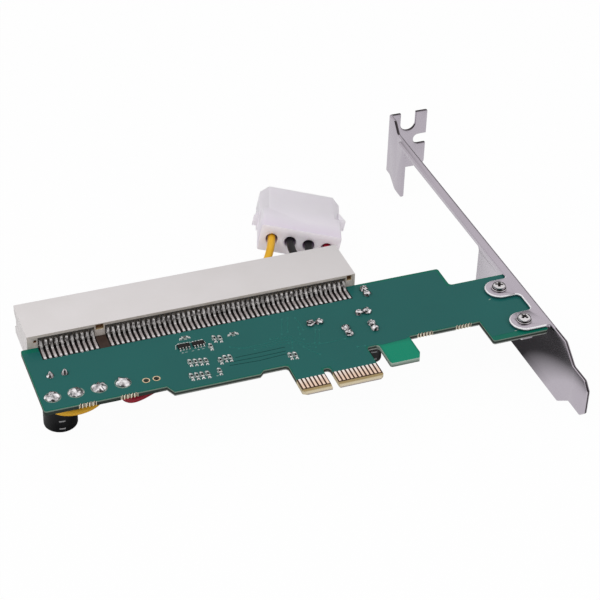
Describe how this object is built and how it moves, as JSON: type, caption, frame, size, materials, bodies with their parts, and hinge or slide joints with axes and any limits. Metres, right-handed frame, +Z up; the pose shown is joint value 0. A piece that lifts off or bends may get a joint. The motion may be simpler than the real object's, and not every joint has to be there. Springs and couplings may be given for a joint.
{
  "type": "pcie to pci adapter card",
  "caption": "Expansion-slot adapter card: edge connector below, long white card slot on the opposite edge, full-height bracket, and power wires ending in an in-line plug.",
  "frame": {"origin": "middle of the card's footprint (board, slot and bracket, without the free wires and plug), on the plane of the bracket's lowest edge", "axes": "+X along the board towards the bracket, +Y from the edge connector towards the card slot, +Z up from the component side to the solder side"},
  "size_m": [0.1364, 0.123, 0.0212],
  "materials": {
    "board_laminate": "green solder mask on glass-fibre laminate",
    "gold_plate": "thin gold plating",
    "slot_plastic": "moulded off-white thermoplastic",
    "tinned_contact": "tin-plated copper alloy",
    "bracket_steel": "plated sheet steel, satin",
    "screw_plate": "nickel-plated steel",
    "capacitor_sleeve": "black shrink sleeve on an aluminium can",
    "seal_rubber": "moulded rubber",
    "solder": "bright solder",
    "chip_plastic": "moulded epoxy",
    "crystal_metal": "plated can",
    "resistor_coat": "black glass coat",
    "ceramic": "sintered ceramic",
    "copper": "tinned copper strands",
    "wire_yellow": "soft PVC insulation",
    "wire_black": "soft PVC insulation",
    "wire_red": "soft PVC insulation",
    "plug_plastic": "natural nylon, slightly translucent",
    "pin_brass": "tinned brass"
  },
  "bodies": {
    "root": {"circuit_board": "board_laminate", "edge_contacts_solder_side": "gold_plate", "edge_contacts_component_side": "gold_plate", "header_hole_rings": "gold_plate", "card_slot_housing": "slot_plastic", "slot_contacts_solder_side": "tinned_contact", "slot_contacts_component_side": "tinned_contact", "mounting_bracket": "bracket_steel", "bracket_screws": "screw_plate", "bracket_nuts": "screw_plate", "bulk_capacitor_can": "capacitor_sleeve", "bulk_capacitor_seal": "seal_rubber", "small_capacitor_cans": "capacitor_sleeve", "small_capacitor_seals": "seal_rubber", "capacitor_leads": "tinned_contact", "capacitor_solder_joints": "solder", "bridge_chip": "chip_plastic", "bridge_chip_leads": "tinned_contact", "crystal_base": "chip_plastic", "crystal_can": "crystal_metal", "voltage_regulator": "chip_plastic", "voltage_regulator_leads": "tinned_contact", "resistor_arrays": "resistor_coat", "resistor_array_terminals": "solder", "chip_resistors": "resistor_coat", "chip_resistor_ends": "solder", "chip_capacitors": "ceramic", "chip_capacitor_ends": "solder", "wire_solder_joints": "solder", "wire_conductors": "copper", "power_wire_yellow": "wire_yellow", "power_wire_black_left": "wire_black", "power_wire_black_right": "wire_black", "power_wire_red": "wire_red", "power_plug_housing": "plug_plastic", "power_plug_pins": "pin_brass"}
  },
  "joints": []
}
